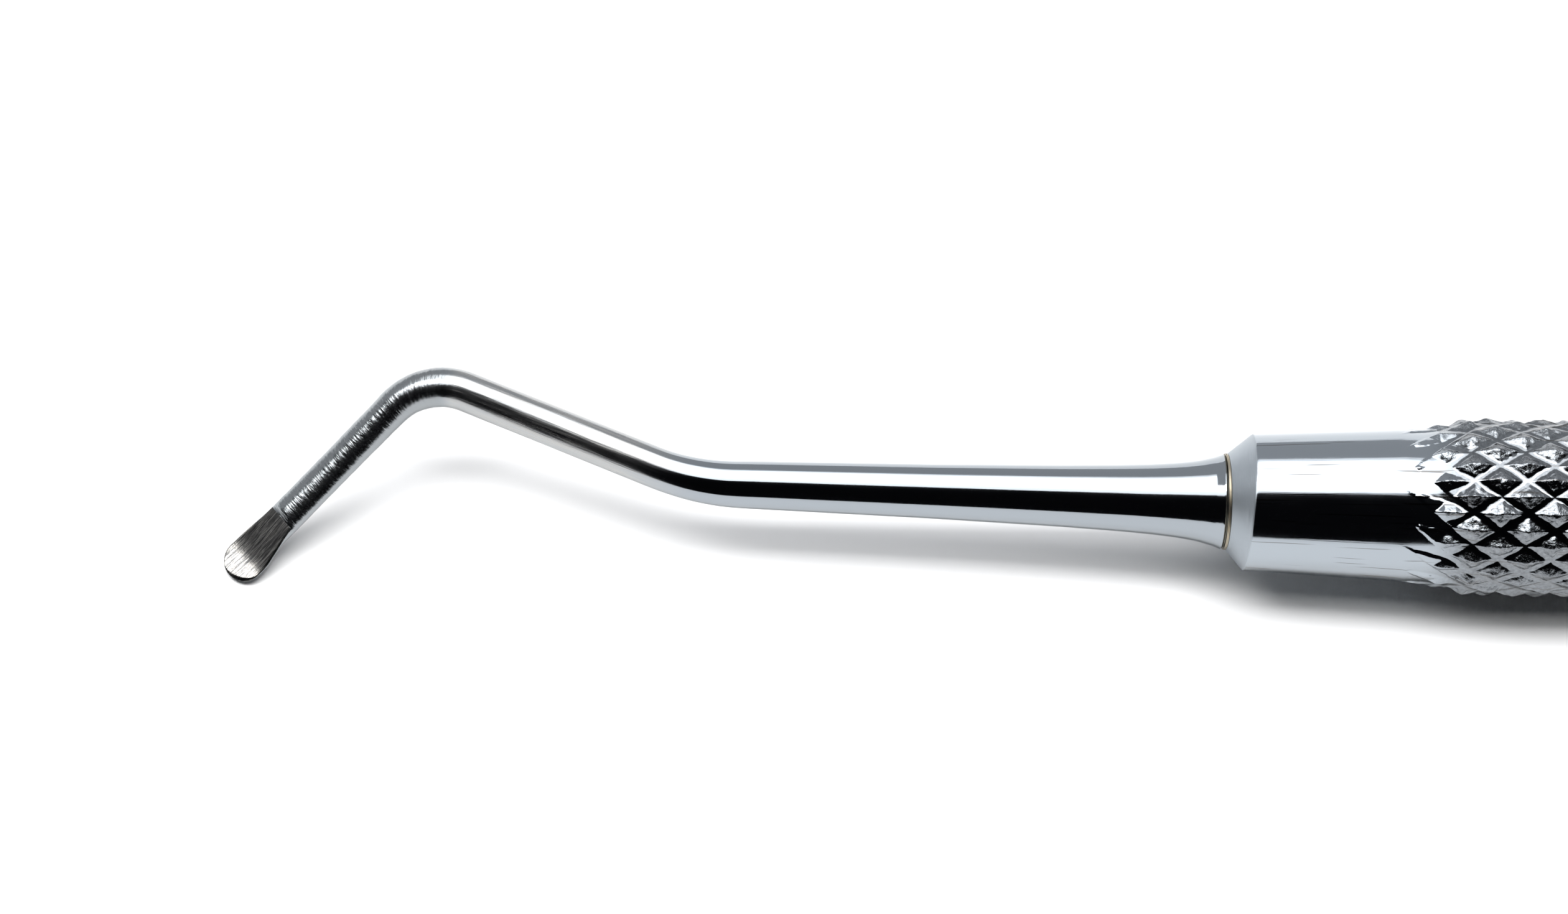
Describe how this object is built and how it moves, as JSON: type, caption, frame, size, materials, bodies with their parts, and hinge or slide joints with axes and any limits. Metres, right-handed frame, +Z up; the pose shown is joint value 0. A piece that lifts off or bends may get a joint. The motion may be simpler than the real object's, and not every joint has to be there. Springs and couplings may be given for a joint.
{
  "type": "dental elevator",
  "caption": "Double-ended steel dental hand instrument: knurled round handle with a bent shank and a small rounded ground blade at each end.",
  "frame": {"origin": "on the table, under the middle of the handle", "axes": "+X along the handle's axis, front working end at -X; +Z up from the table the instrument lies on; +Y the side the front shank bends to first"},
  "size_m": [0.172, 0.0082, 0.0064],
  "materials": {
    "grip_steel": "polished stainless bar with a bright diamond knurl",
    "polished_steel": "mirror-polished stainless, fine cross grinding on the last straight, ground blade face",
    "braze": "dull straw-coloured silver braze"
  },
  "bodies": {
    "root": {"handle_bar": "grip_steel", "front_working_end": "polished_steel", "rear_working_end": "polished_steel", "front_braze_ring": "braze", "rear_braze_ring": "braze"}
  },
  "joints": []
}
